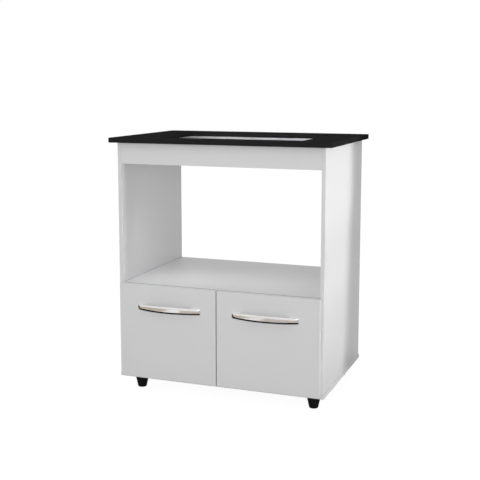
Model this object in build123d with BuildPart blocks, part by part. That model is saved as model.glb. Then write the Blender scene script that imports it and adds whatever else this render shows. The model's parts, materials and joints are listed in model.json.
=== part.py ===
from build123d import *
import os
from math import sqrt

# Kitchen base cabinet for a built-in cooktop, in millimetres.
# A black top with a cut-out stands on a white board carcass on four feet.
# An open niche lies over two deep drawers on roller runners.
# X runs to the right seen from the front, Y to the back and Z up.
# The origin is on the floor, under the middle of the whole piece.

# Carcass
carcass_width = 660.0
carcass_depth = 450.0
side_panel_height = 727.0
side_panel_thickness = 12.0
base_board_thickness = 12.0
base_board_side_lip = 2.5
base_board_rounding = 1.5
shelf_thickness = 12.0
shelf_top_height = 291.0  # above the base board
partition_thickness = 12.0
rail_height = 65.0
rail_thickness = 12.0
back_panel_thickness = 3.0
back_panel_side_inset = 3.0
back_panel_top_drop = 4.0
board_rounding = 0.6

# Countertop
countertop_thickness = 15.0
countertop_side_overhang = 21.0
countertop_front_overhang = 19.0
countertop_rear_overhang = 2.0
countertop_rounding = 1.0
cutout_width = 498.0
cutout_depth = 344.0
cutout_corner_radius = 8.0

# Feet
foot_height = 48.0
foot_top_diameter = 48.0
foot_bottom_diameter = 27.0
foot_rounding = 3.0
foot_side_inset = 44.0
foot_end_inset = 58.0
foot_bore_diameter = 13.0
foot_seat_thickness = 8.0

# Drawer fronts
front_thickness = 15.0
front_gap = 1.0
front_side_inset = 7.5
front_middle_gap = 3.0
front_base_overlap = 4.5
front_top_drop = 0.5
front_rounding = 1.0

# Drawer boxes
drawer_side_thickness = 12.0
drawer_side_height = 190.0
drawer_back_thickness = 12.0
drawer_floor_gap = 15.0
drawer_bottom_thickness = 3.0
drawer_bottom_rise = 10.0
groove_depth = 5.0
drawer_box_rounding = 0.8

# Runners
runner_space = 12.5  # between a bay's wall and the drawer side
runner_length = 400.0
runner_steel = 1.2
runner_setback = 2.0
runner_rise = 12.0  # above the drawer side's lower edge
channel_reach = 9.0
channel_height = 22.0
channel_cut_length = 40.0
drawer_rail_reach = 10.5
drawer_rail_lift = 1.2
drawer_rail_height = 21.0
drawer_rail_setback = 4.0
roller_tab_length = 24.0
roller_tab_clearance = 4.0
roller_radius = 9.0
roller_thickness = 4.5
roller_rounding = 0.5
roller_edge_inset = 12.0
axle_radius = 2.5
axle_shoulder_radius = 3.6
axle_shoulder_length = 2.2
axle_head_radius = 3.6
axle_head_thickness = 0.8

# Handles
handle_length = 207.0
handle_projection = 25.0
handle_end_projection = 4.5
handle_tip_projection = 1.5
handle_tip_length = 3.0
handle_middle_height = 20.5
handle_end_height = 15.5
handle_strap_thickness = 5.0
handle_screw_spacing = 160.0
handle_post_half_width = 6.0
handle_top_facet_height = 7.0
handle_top_facet_depth = 3.2
handle_lower_facet_height = 3.0
handle_lower_facet_depth = 2.2
handle_drop = 78.0  # from the front's top edge to the handle's lower edge
handle_shift = 7.0  # towards the middle of the cabinet
handle_stations = 9

# Screws, nails, dowels and cam fasteners
long_screw_radius = 1.75
long_screw_length = 38.0
long_screw_head_radius = 3.6
short_screw_radius = 1.75
short_screw_length = 10.0
short_screw_head_radius = 3.4
short_screw_head_height = 1.3
box_screw_length = 30.0
foot_screw_radius = 2.0
foot_screw_length = 17.0
foot_screw_head_radius = 4.5
foot_screw_head_height = 3.0
handle_screw_radius = 2.0
handle_screw_head_radius = 4.0
handle_screw_head_height = 2.4
handle_screw_grip = 7.0
screw_point_length = 3.0
countersink_angle = 90.0
recess_length = 3.6
recess_width = 0.9
recess_depth = 0.9
nail_radius = 0.8
nail_length = 20.0
nail_head_radius = 2.2
nail_head_height = 0.8
nail_point_length = 1.6
nail_end_inset = 30.0
nails_per_board = 4
dowel_radius = 3.0
dowel_length = 30.0
dowel_chamfer = 0.75
dowel_short_end = 8.0
cam_radius = 7.4
cam_height = 10.3
cam_slot_length = 7.4
cam_slot_width = 1.8
cam_slot_depth = 0.9
cam_end_distance = 24.0
cam_bolt_radius = 2.5
cam_bolt_grip = 9.0
cam_bolt_neck_radius = 2.0
cam_bolt_head_radius = 3.2
cam_bolt_head_length = 3.5
cam_bolt_reach = 25.0
shelf_cam_inset = 60.0
dowel_spacing = 32.0
rail_cam_rise = 17.0
base_screw_end_distance = 90.0
partition_dowel_inset = 110.0
bracket_leg = 24.0
bracket_width = 20.0
bracket_steel = 1.5
bracket_inset = 150.0
bumper_radius = 4.0
bumper_thickness = 0.9
bumper_spacing = 240.0
side_runner_screw_places = (37.0, 165.0, 325.0)
partition_runner_screw_places = (53.0, 181.0, 341.0)
drawer_rail_screw_places = (45.0, 300.0)
drawer_rail_screw_rise = 10.0
box_screw_rises = (70.0, 160.0)
drawer_dowel_rises = (35.0, 150.0)

# Clearances
thread_clearance = 0.05
shank_clearance = 0.3
dowel_clearance = 0.1
dowel_end_clearance = 0.5
cam_clearance = 0.1
groove_clearance = 0.1
axle_clearance = 0.05
roller_clearance = 0.3
roller_side_clearance = 0.2

# Heights
base_bottom = foot_height
base_top = base_bottom + base_board_thickness
panel_top = base_top + side_panel_height
shelf_top = base_top + shelf_top_height
shelf_bottom = shelf_top - shelf_thickness
shelf_middle = shelf_top - shelf_thickness / 2
rail_bottom = panel_top - rail_height
countertop_top = panel_top + countertop_thickness

# Widths
outer_half = carcass_width / 2
inner_half = outer_half - side_panel_thickness
partition_half = partition_thickness / 2
inner_width = 2 * inner_half
bay_width = (inner_width - partition_thickness) / 2
bay_centre = (partition_thickness + bay_width) / 2
box_width = bay_width - 2 * runner_space
box_inner_width = box_width - 2 * drawer_side_thickness

# Depths, from the frontmost point to the rearmost one
front_reach = max(front_gap + front_thickness + handle_projection, countertop_front_overhang)
rear_reach = max(back_panel_thickness + nail_head_height, countertop_rear_overhang)
panel_front = (front_reach - rear_reach - carcass_depth) / 2
panel_rear = panel_front + carcass_depth
front_back_face = panel_front - front_gap
front_face = front_back_face - front_thickness
box_rear = front_back_face + runner_length  # the drawer's sides are as long as its runners
front_rail_middle = panel_front + rail_thickness / 2
rear_rail_middle = panel_rear - rail_thickness / 2

# Drawer places
front_bottom = base_top - front_base_overlap
front_top = shelf_top - front_top_drop
front_height = front_top - front_bottom
front_width = (carcass_width - 2 * front_side_inset - front_middle_gap) / 2
front_centre = (front_middle_gap + front_width) / 2
drawer_floor = base_top + drawer_floor_gap
drawer_bottom_low = drawer_floor + drawer_bottom_rise
groove_width = drawer_bottom_thickness + 2 * groove_clearance
handle_bottom = front_top - handle_drop
handle_screw_height = handle_bottom + handle_end_height / 2

# Runner places
channel_bottom = drawer_floor + runner_rise
channel_top = channel_bottom + channel_height
drawer_rail_bottom = channel_top + drawer_rail_lift
drawer_rail_top = drawer_rail_bottom + drawer_rail_height
front_roller_height = drawer_rail_bottom - roller_clearance - roller_radius
rear_roller_height = channel_bottom + runner_steel + roller_clearance + roller_radius
channel_front = panel_front + runner_setback
drawer_rail_front = panel_front + drawer_rail_setback
drawer_rail_rear = box_rear - drawer_rail_setback
front_roller_y = channel_front + roller_edge_inset
rear_roller_y = drawer_rail_rear - roller_edge_inset

LEFT = -1
RIGHT = 1
SIDES = {"left": LEFT, "right": RIGHT}
UP = (0, 0, 1)
DOWN = (0, 0, -1)
BACK = (0, 1, 0)
FORWARD = (0, -1, 0)


def across(side):
    """Return the direction along X that points to the given side."""
    return (side, 0, 0)


def save(piece, name):
    """Label a finished piece and write its file."""
    piece.part.label = name
    export_step(piece.part, f"parts/{name}.step")


def block(x_limits, y_limits, z_limits, mode=Mode.ADD):
    """Add a box to the piece being made, from its limits on the three axes."""
    centre = tuple(sum(limits) / 2 for limits in (x_limits, y_limits, z_limits))
    size = tuple(abs(limits[1] - limits[0]) for limits in (x_limits, y_limits, z_limits))
    with Locations(centre):
        Box(*size, mode=mode)


def board(x_limits, y_limits, z_limits, rounding=board_rounding):
    """Make a plain board with softly rounded edges, from its limits."""
    with BuildPart() as piece:
        block(x_limits, y_limits, z_limits)
        fillet(piece.edges(), rounding)
    return piece.part


def turned_screw(radius, length, head_radius, head_height, countersunk):
    """Make one screw about Z with its head's seat at Z = 0 and its point below.

    A countersunk head lies under the seat, and a pan head stands on it.
    """
    with BuildPart() as screw:
        with BuildSketch(Plane.XZ):
            with BuildLine():
                if countersunk:
                    head = [(0, 0), (head_radius, 0), (radius, radius - head_radius)]
                else:
                    head = [(0, head_height), (head_radius, head_height), (head_radius, 0), (radius, 0)]
                Polyline(*head, (radius, screw_point_length - length), (0, -length), close=True)
            make_face()
        revolve(axis=Axis.Z)
        top = 0 if countersunk else head_height
        recess = (top - recess_depth, top + recess_depth)
        arm = (-recess_length / 2, recess_length / 2)
        slot = (-recess_width / 2, recess_width / 2)
        block(arm, slot, recess, mode=Mode.SUBTRACT)
        block(slot, arm, recess, mode=Mode.SUBTRACT)
    return screw.part


def group(single, places, name):
    """Write copies of one small piece, set on planes whose Z axis leaves the seat."""
    with BuildPart() as copies:
        with Locations(*places):
            add(single)
    save(copies, name)


def on(point, direction):
    """Return the plane at a point that faces the given way."""
    return Plane(origin=point, z_dir=direction)


def at_sides(x, rows, turn=1):
    """Return planes at X on both sides for rows of (Y, Z), facing out, or facing in with a turn of -1."""
    return [on((side * x, y, z), across(side * turn)) for side in SIDES.values() for y, z in rows]


# Places of the cam fasteners and dowels that hold the shelf and the two rails
cam_height_on_rail = rail_bottom + rail_cam_rise
shelf_cam_rows = (panel_front + shelf_cam_inset, panel_rear - shelf_cam_inset)
shelf_dowel_rows = (shelf_cam_rows[0] + dowel_spacing, shelf_cam_rows[1] - dowel_spacing)
rail_rows = (front_rail_middle, rear_rail_middle)
shelf_cams = [(y, shelf_middle) for y in shelf_cam_rows]
shelf_dowels = [(y, shelf_middle) for y in shelf_dowel_rows]
rail_cams = [(y, cam_height_on_rail) for y in rail_rows]
rail_dowels = [(y, cam_height_on_rail + dowel_spacing) for y in rail_rows]
cam_bore_radius = cam_bolt_head_radius + cam_clearance
dowel_hole_radius = dowel_radius + dowel_clearance
long_screw_hole_radius = long_screw_radius + shank_clearance
countersink_radius = long_screw_head_radius + thread_clearance
dowel_long_end = dowel_length - dowel_short_end

# Places of the other fasteners, each on its seat and facing out of the hole
partition_rows = (panel_front + partition_dowel_inset, panel_rear - partition_dowel_inset)
base_screw_rows = (panel_front + base_screw_end_distance, panel_rear - base_screw_end_distance)
side_middle = outer_half - side_panel_thickness / 2
upright_middles = (-side_middle, 0, side_middle)
base_screw_places = [on((x, y, base_bottom), DOWN) for x in upright_middles for y in base_screw_rows]
bracket_rows = (panel_front + bracket_inset, panel_rear - bracket_inset)
bracket_hole = (bracket_leg + bracket_steel) / 2
nail_step = (shelf_top_height - back_panel_top_drop - 2 * nail_end_inset) / (nails_per_board - 1)
nail_rises = [nail_end_inset + step * nail_step for step in range(nails_per_board)]
nail_places = [
    on((x, panel_rear + back_panel_thickness, base_top + rise), BACK)
    for x in upright_middles for rise in nail_rises
]
runner_screw_height = channel_bottom + channel_height / 2
drawer_rail_screw_height = drawer_rail_bottom + drawer_rail_screw_rise
foot_places = {
    f"{row}_{side_name}": (side * (outer_half - foot_side_inset), y)
    for row, y in (("front", panel_front + foot_end_inset), ("rear", panel_rear - foot_end_inset))
    for side_name, side in SIDES.items()
}

os.makedirs("parts", exist_ok=True)

# Countertop slab with the rounded cut-out that takes the cooktop
slab_front = panel_front - countertop_front_overhang
slab_rear = panel_rear + countertop_rear_overhang
slab_half = outer_half + countertop_side_overhang
slab_middle = (slab_front + slab_rear) / 2
bracket_slab_places = [
    on((side * (inner_half - bracket_hole), y, panel_top), DOWN)
    for side in SIDES.values() for y in bracket_rows
]
bracket_panel_places = at_sides(inner_half, [(y, panel_top - bracket_hole) for y in bracket_rows], turn=-1)
with BuildPart() as countertop:
    with BuildSketch(Plane.XY.offset(panel_top)):
        with Locations((0, slab_middle)):
            Rectangle(2 * slab_half, slab_rear - slab_front)
            RectangleRounded(cutout_width, cutout_depth, cutout_corner_radius, mode=Mode.SUBTRACT)
    extrude(amount=countertop_thickness)
    fillet(countertop.faces().sort_by(Axis.Z)[-1].outer_wire().edges(), countertop_rounding)
    with Locations(*bracket_slab_places):
        Hole(short_screw_radius + thread_clearance, short_screw_length)
save(countertop, "countertop")

# Side panels, drilled on their inner faces and in their lower and rear edges
for side_name, side in SIDES.items():
    inward = across(-side)
    with BuildPart() as side_panel:
        add(board((side * inner_half, side * outer_half), (panel_front, panel_rear), (base_top, panel_top)))
        with Locations(*[on((side * inner_half, y, z), inward) for y, z in shelf_cams + rail_cams]):
            Hole(cam_bolt_radius + thread_clearance, cam_bolt_grip + dowel_end_clearance)
        with Locations(*[on((side * inner_half, y, z), inward) for y, z in shelf_dowels + rail_dowels]):
            Hole(dowel_hole_radius, dowel_short_end + dowel_end_clearance)
        with Locations(*[on((side * inner_half, channel_front + y, runner_screw_height), inward)
                         for y in side_runner_screw_places]):
            Hole(short_screw_radius + thread_clearance, short_screw_length)
        with Locations(*[place for place in bracket_panel_places if place.z_dir.X == -side]):
            Hole(short_screw_radius + thread_clearance, short_screw_length)
        with Locations(*[on((side * side_middle, y, base_top), DOWN) for y in base_screw_rows]):
            Hole(long_screw_radius + thread_clearance, long_screw_length - base_board_thickness)
        with Locations(*[on((side * side_middle, panel_rear, base_top + rise), BACK) for rise in nail_rises]):
            Hole(nail_radius + thread_clearance, nail_length - back_panel_thickness)
    save(side_panel, f"side_panel_{side_name}")

# Base board under the side panels, a little wider than the carcass
base_half = outer_half + base_board_side_lip
with BuildPart() as base_board:
    add(board((-base_half, base_half), (panel_front, panel_rear + back_panel_thickness),
              (base_bottom, base_top), base_board_rounding))
    with Locations(*base_screw_places):
        CounterSinkHole(long_screw_hole_radius, countersink_radius, base_board_thickness, countersink_angle)
    with Locations(*[on((x, y, base_bottom), DOWN) for x, y in foot_places.values()]):
        Hole(foot_screw_radius + thread_clearance, foot_screw_length - foot_seat_thickness + thread_clearance)
save(base_board, "base_board")

# Niche shelf, with cam pockets underneath and fastener holes in its ends
with BuildPart() as niche_shelf:
    add(board((-inner_half, inner_half), (panel_front, panel_rear), (shelf_bottom, shelf_top)))
    with Locations(*[on((side * (inner_half - cam_end_distance), y, shelf_bottom), DOWN)
                     for side in SIDES.values() for y in shelf_cam_rows]):
        Hole(cam_radius + cam_clearance, cam_height + cam_clearance)
    with Locations(*at_sides(inner_half, shelf_cams)):
        Hole(cam_bore_radius, cam_end_distance)
    with Locations(*at_sides(inner_half, shelf_dowels)):
        Hole(dowel_hole_radius, dowel_long_end + dowel_end_clearance)
    with Locations(*[on((0, y, shelf_bottom), DOWN) for y in partition_rows]):
        Hole(dowel_hole_radius, dowel_short_end + dowel_end_clearance)
save(niche_shelf, "niche_shelf")

# Centre partition between the two drawer bays
with BuildPart() as centre_partition:
    add(board((-partition_half, partition_half), (panel_front, panel_rear), (base_top, shelf_bottom)))
    with Locations(*[on((0, y, shelf_bottom), UP) for y in partition_rows]):
        Hole(dowel_hole_radius, dowel_long_end + dowel_end_clearance)
    with Locations(*[on((0, y, base_top), DOWN) for y in base_screw_rows]):
        Hole(long_screw_radius + thread_clearance, long_screw_length - base_board_thickness)
    with Locations(*[on((0, panel_rear, base_top + rise), BACK) for rise in nail_rises]):
        Hole(nail_radius + thread_clearance, nail_length - back_panel_thickness)
    for side, rows in ((LEFT, side_runner_screw_places), (RIGHT, partition_runner_screw_places)):
        with Locations(*[on((side * partition_half, channel_front + y, runner_screw_height), across(side))
                         for y in rows]):
            Hole(short_screw_radius + thread_clearance, short_screw_length)
save(centre_partition, "centre_partition")

# Rails under the countertop, with their cam pockets on the rear face
for rail_name, middle in (("front_rail", front_rail_middle), ("rear_rail", rear_rail_middle)):
    rail_front = middle - rail_thickness / 2
    rail_rear = middle + rail_thickness / 2
    with BuildPart() as rail:
        add(board((-inner_half, inner_half), (rail_front, rail_rear), (rail_bottom, panel_top)))
        with Locations(*[on((side * (inner_half - cam_end_distance), rail_rear, cam_height_on_rail), BACK)
                         for side in SIDES.values()]):
            Hole(cam_radius + cam_clearance, cam_height + cam_clearance)
        with Locations(*at_sides(inner_half, [(middle, cam_height_on_rail)])):
            Hole(cam_bore_radius, cam_end_distance)
        with Locations(*at_sides(inner_half, [(middle, cam_height_on_rail + dowel_spacing)])):
            Hole(dowel_hole_radius, dowel_long_end + dowel_end_clearance)
    save(rail, rail_name)

# Thin back panel behind the drawer bays, standing on the base board
with BuildPart() as back_panel:
    block((back_panel_side_inset - outer_half, outer_half - back_panel_side_inset),
          (panel_rear, panel_rear + back_panel_thickness), (base_top, shelf_top - back_panel_top_drop))
    with Locations(*nail_places):
        Hole(nail_radius + thread_clearance)
save(back_panel, "back_panel")

# Tapered feet with a bore for the screw's head
for place_name, (x, y) in foot_places.items():
    with BuildPart() as foot:
        with BuildSketch(Plane.XY.offset(foot_height)):
            with Locations((x, y)):
                Circle(foot_top_diameter / 2)
        with BuildSketch(Plane.XY):
            with Locations((x, y)):
                Circle(foot_bottom_diameter / 2)
        loft()
        fillet(foot.edges().sort_by(Axis.Z)[0], foot_rounding)
        with Locations(Plane.XY.offset(foot_height)):
            with Locations((x, y)):
                Hole(foot_screw_radius + shank_clearance)
        with Locations(on((x, y, 0), DOWN)):
            Hole(foot_bore_diameter / 2, foot_height - foot_seat_thickness)
    save(foot, f"foot_{place_name}")

# Fasteners of the carcass
long_screw = turned_screw(long_screw_radius, long_screw_length, long_screw_head_radius, 0, True)
short_screw = turned_screw(
    short_screw_radius, short_screw_length, short_screw_head_radius, short_screw_head_height, False)
foot_screw = turned_screw(
    foot_screw_radius, foot_screw_length, foot_screw_head_radius, foot_screw_head_height, False)
with BuildPart() as nail:
    with BuildSketch(Plane.XZ):
        with BuildLine():
            Polyline((0, nail_head_height), (nail_head_radius, nail_head_height), (nail_head_radius, 0),
                     (nail_radius, 0), (nail_radius, nail_point_length - nail_length), (0, -nail_length),
                     close=True)
        make_face()
    revolve(axis=Axis.Z)
with BuildPart() as dowel:
    with Locations((0, 0, (dowel_short_end - dowel_long_end) / 2)):
        Cylinder(dowel_radius, dowel_length)
    chamfer(dowel.edges(), dowel_chamfer)
group(long_screw, base_screw_places, "base_screws")
foot_seat = foot_height - foot_seat_thickness
group(foot_screw, [on((x, y, foot_seat), DOWN) for x, y in foot_places.values()], "foot_screws")
group(nail.part, nail_places, "back_panel_nails")
partition_dowel_places = [on((0, y, shelf_bottom), UP) for y in partition_rows]
group(dowel.part, at_sides(inner_half, shelf_dowels + rail_dowels) + partition_dowel_places, "dowels")

# Cam bolts stand out of the side panels, and a cam in the board grips each head
with BuildPart() as cam_bolt:
    with BuildSketch(Plane.XZ):
        with BuildLine():
            Polyline((0, -cam_bolt_grip), (cam_bolt_radius, -cam_bolt_grip), (cam_bolt_radius, 0),
                     (cam_bolt_neck_radius, 0), (cam_bolt_neck_radius, cam_bolt_reach - cam_bolt_head_length),
                     (cam_bolt_head_radius, cam_bolt_reach - cam_bolt_head_length),
                     (cam_bolt_head_radius, cam_bolt_reach), (0, cam_bolt_reach), close=True)
        make_face()
    revolve(axis=Axis.Z)
group(cam_bolt.part, at_sides(inner_half, shelf_cams + rail_cams, turn=-1), "cam_bolts")


def cam_lock(board_thickness):
    """Make a cam with its face at Z = 0 and a bore along X for the bolt's head."""
    with BuildPart() as cam:
        with Locations((0, 0, -cam_height / 2)):
            Cylinder(cam_radius, cam_height)
        with Locations(Plane(origin=(0, 0, -board_thickness / 2), z_dir=(1, 0, 0))):
            Cylinder(cam_bore_radius, 2 * cam_radius, mode=Mode.SUBTRACT)
        block((-cam_slot_length / 2, cam_slot_length / 2), (-cam_slot_width / 2, cam_slot_width / 2),
              (-cam_slot_depth, cam_slot_depth), mode=Mode.SUBTRACT)
    return cam.part


shelf_cam_places = [
    Plane(origin=(side * (inner_half - cam_end_distance), y, shelf_bottom), x_dir=across(side), z_dir=DOWN)
    for side in SIDES.values() for y in shelf_cam_rows
]
rail_cam_places = [
    Plane(origin=(side * (inner_half - cam_end_distance), y + rail_thickness / 2, cam_height_on_rail),
          x_dir=across(side), z_dir=BACK)
    for side in SIDES.values() for y in rail_rows
]
with BuildPart() as cam_locks:
    with Locations(*shelf_cam_places):
        add(cam_lock(shelf_thickness))
    with Locations(*rail_cam_places):
        add(cam_lock(rail_thickness))
save(cam_locks, "cam_locks")

# Steel angle brackets that hold the countertop to the side panels
with BuildPart() as countertop_brackets:
    for side in SIDES.values():
        for y in bracket_rows:
            width = (y - bracket_width / 2, y + bracket_width / 2)
            outer = side * inner_half
            block((outer, outer - side * bracket_leg), width, (panel_top - bracket_steel, panel_top))
            block((outer, outer - side * bracket_steel), width, (panel_top - bracket_leg, panel_top))
    with Locations(*bracket_slab_places, *bracket_panel_places):
        Hole(short_screw_radius + shank_clearance, 2 * bracket_steel)
save(countertop_brackets, "countertop_brackets")
bracket_screw_places = [place.offset(bracket_steel) for place in bracket_slab_places + bracket_panel_places]
group(short_screw, bracket_screw_places, "countertop_bracket_screws")

# Soft bumpers on the shelf's front edge, where the closed drawer fronts rest
with BuildPart() as front_bumpers:
    with Locations(*[on((side * front_centre + shift, panel_front, shelf_middle), FORWARD)
                     for side in SIDES.values() for shift in (-bumper_spacing / 2, bumper_spacing / 2)]):
        Cylinder(bumper_radius, bumper_thickness, align=(Align.CENTER, Align.CENTER, Align.MIN))
save(front_bumpers, "front_bumpers")


def roller(x_limits, y, z):
    """Make a nylon runner wheel that turns about X on its axle."""
    with BuildPart() as wheel:
        with BuildSketch(Plane.YZ.offset(min(x_limits))):
            with Locations((y, z)):
                Circle(roller_radius)
                Circle(axle_radius + axle_clearance, mode=Mode.SUBTRACT)
        extrude(amount=abs(x_limits[1] - x_limits[0]))
        fillet(wheel.edges().filter_by(GeomType.CIRCLE).sort_by(SortBy.RADIUS)[-2:], roller_rounding)
    return wheel


def axle(start, direction, y, z):
    """Add a fixed axle to the runner being made, from its web along X."""
    far_shoulder = start + direction * axle_shoulder_length
    near_head = far_shoulder + direction * (roller_thickness + 2 * roller_side_clearance)
    far_head = near_head + direction * axle_head_thickness
    stretches = (
        (start, far_shoulder, axle_shoulder_radius),
        (far_shoulder, near_head, axle_radius),
        (near_head, far_head, axle_head_radius),
    )
    for low, high, radius in stretches:
        with Locations(Plane(origin=((low + high) / 2, y, z), z_dir=(1, 0, 0))):
            Cylinder(radius, abs(high - low))


def roller_span(start, direction):
    """Return the limits along X of the wheel on an axle that starts at a web."""
    near = start + direction * (axle_shoulder_length + roller_side_clearance)
    return (near, near + direction * roller_thickness)


# Bow of the handles: the strap's outer side follows an arc between its two ends
strap_half = handle_length / 2 - handle_tip_length
bow_rise = handle_projection - handle_end_projection
bow_radius = (strap_half ** 2 + bow_rise ** 2) / (2 * bow_rise)
strap_stations = [strap_half * (2 * step / (handle_stations - 1) - 1) for step in range(handle_stations)]


def strap_reach(x, radius):
    """Return how far an arc about the bow's centre stands off the front at a distance from the middle."""
    return handle_projection - bow_radius + sqrt(radius ** 2 - x ** 2)


gap_half = handle_screw_spacing / 2 - handle_post_half_width
gap_radius = bow_radius - handle_strap_thickness
gap_middle_reach = strap_reach(0, gap_radius)
gap_end_reach = strap_reach(gap_half, gap_radius)


def handle_section(middle, x, reach):
    """Return the strap's faceted section across X, at a distance from the handle's middle."""
    share = (2 * x / handle_length) ** 2
    height = handle_middle_height - (handle_middle_height - handle_end_height) * share
    lower_cut = min(handle_lower_facet_depth, reach / 2)
    upper_cut = min(handle_top_facet_depth, reach / 2)
    outer = front_face - reach
    top = handle_bottom + height
    with BuildSketch(Plane.YZ.offset(middle + x)) as section:
        with BuildLine():
            Polyline((front_face, handle_bottom), (outer + lower_cut, handle_bottom),
                     (outer, handle_bottom + handle_lower_facet_height),
                     (outer, top - handle_top_facet_height), (outer + upper_cut, top),
                     (front_face, top), close=True)
        make_face()
    return section.sketch


# Both drawers with their runners
fixed_runner_screws = []
for drawer_name, bay_side in SIDES.items():
    bay_middle = bay_side * bay_centre
    front_middle = bay_side * front_centre
    drawer = f"{drawer_name}_drawer"

    # Channels on the bay's walls, rails on the drawer's sides and their rollers
    rail_screws = []
    for wall_name, wall_side in SIDES.items():
        inward = -wall_side
        wall_face = bay_middle + wall_side * bay_width / 2
        box_face = wall_face + inward * runner_space
        web_face = wall_face + inward * runner_steel
        rail_web_face = box_face - inward * runner_steel
        flange_end = wall_face + inward * channel_reach
        rail_flange_end = box_face - inward * drawer_rail_reach
        wall_rail_screws = [
            on((rail_web_face, drawer_rail_front + y, drawer_rail_screw_height), across(-inward))
            for y in drawer_rail_screw_places
        ]
        on_right_of_partition = bay_side == RIGHT and wall_side == LEFT
        screw_places = partition_runner_screw_places if on_right_of_partition else side_runner_screw_places

        with BuildPart() as channel:
            run = (channel_front, channel_front + runner_length)
            behind_cut = (channel_front + channel_cut_length, channel_front + runner_length)
            block((wall_face, web_face), run, (channel_bottom, channel_top))
            block((wall_face, flange_end), run, (channel_bottom, channel_bottom + runner_steel))
            block((wall_face, flange_end), behind_cut, (channel_top - runner_steel, channel_top))
            with Locations(*[on((web_face, channel_front + y, runner_screw_height), across(inward))
                             for y in side_runner_screw_places + partition_runner_screw_places]):
                Hole(short_screw_radius + shank_clearance, 2 * runner_steel)
            axle(web_face, inward, front_roller_y, front_roller_height)
        save(channel, f"{drawer}_channel_{wall_name}")
        fixed_runner_screws += [on((web_face, channel_front + y, runner_screw_height), across(inward))
                                for y in screw_places]

        with BuildPart() as drawer_rail:
            run = (drawer_rail_front, drawer_rail_rear)
            tab = (drawer_rail_rear - roller_tab_length, drawer_rail_rear)
            block((box_face, rail_web_face), run, (drawer_rail_bottom, drawer_rail_top))
            block((box_face, rail_flange_end), run, (drawer_rail_bottom, drawer_rail_bottom + runner_steel))
            block((box_face, rail_web_face), tab, (channel_bottom + roller_tab_clearance, drawer_rail_bottom))
            with Locations(*wall_rail_screws):
                Hole(short_screw_radius + shank_clearance, 2 * runner_steel)
            axle(rail_web_face, -inward, rear_roller_y, rear_roller_height)
        save(drawer_rail, f"{drawer}_rail_{wall_name}")
        rail_screws += wall_rail_screws

        front_roller = roller(roller_span(web_face, inward), front_roller_y, front_roller_height)
        save(front_roller, f"{drawer}_front_roller_{wall_name}")
        rear_roller = roller(roller_span(rail_web_face, -inward), rear_roller_y, rear_roller_height)
        save(rear_roller, f"{drawer}_rear_roller_{wall_name}")
    group(short_screw, rail_screws, f"{drawer}_rail_screws")

    # Sides of the box, grooved for the bottom and drilled for their fasteners
    box_half = box_width / 2
    box_inner_half = box_inner_width / 2
    box_heights = (drawer_floor, drawer_floor + drawer_side_height)
    back_front = box_rear - drawer_back_thickness
    back_middle = box_rear - drawer_back_thickness / 2
    side_centre = box_half - drawer_side_thickness / 2
    groove_low = drawer_bottom_low - groove_clearance
    groove = (groove_low, groove_low + groove_width)
    box_screw_places = [
        on((bay_middle + side * box_half, back_middle, drawer_floor + rise), across(side))
        for side in SIDES.values() for rise in box_screw_rises
    ]
    drawer_dowels = [(front_back_face, drawer_floor + rise) for rise in drawer_dowel_rises]
    drawer_dowel_places = [
        on((bay_middle + side * side_centre, y, z), FORWARD)
        for side in SIDES.values() for y, z in drawer_dowels
    ]
    for side_name, side in SIDES.items():
        outside = bay_middle + side * box_half
        inside = bay_middle + side * box_inner_half
        with BuildPart() as drawer_side:
            add(board((inside, outside), (front_back_face, box_rear), box_heights, drawer_box_rounding))
            block((inside - side * groove_depth, inside + side * groove_depth),
                  (front_back_face - groove_depth, back_front + groove_depth), groove, mode=Mode.SUBTRACT)
            with Locations(*[place for place in box_screw_places if place.z_dir.X == side]):
                CounterSinkHole(long_screw_hole_radius, countersink_radius,
                                drawer_side_thickness, countersink_angle)
            with Locations(*[on((bay_middle + side * side_centre, y, z), FORWARD) for y, z in drawer_dowels]):
                Hole(dowel_hole_radius, dowel_long_end + dowel_end_clearance)
            with Locations(*[place for place in rail_screws if place.z_dir.X == side]):
                Hole(short_screw_radius + thread_clearance, short_screw_length + thread_clearance)
        save(drawer_side, f"{drawer}_side_{side_name}")

    # Back of the box, between the sides
    box_screw_grip = box_screw_length - drawer_side_thickness
    with BuildPart() as drawer_back:
        add(board((bay_middle - box_inner_half, bay_middle + box_inner_half), (back_front, box_rear),
                  box_heights, drawer_box_rounding))
        block((bay_middle - box_half, bay_middle + box_half),
              (back_front - groove_depth, back_front + groove_depth), groove, mode=Mode.SUBTRACT)
        with Locations(*[place.offset(-drawer_side_thickness) for place in box_screw_places]):
            Hole(long_screw_radius + thread_clearance, box_screw_grip + thread_clearance)
    save(drawer_back, f"{drawer}_back")

    # Bottom of the box, held in the grooves all round
    bottom_tuck = groove_depth - groove_clearance
    with BuildPart() as drawer_bottom:
        block((bay_middle - box_inner_half - bottom_tuck, bay_middle + box_inner_half + bottom_tuck),
              (front_back_face - bottom_tuck, back_front + bottom_tuck),
              (drawer_bottom_low, drawer_bottom_low + drawer_bottom_thickness))
    save(drawer_bottom, f"{drawer}_bottom")

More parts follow.
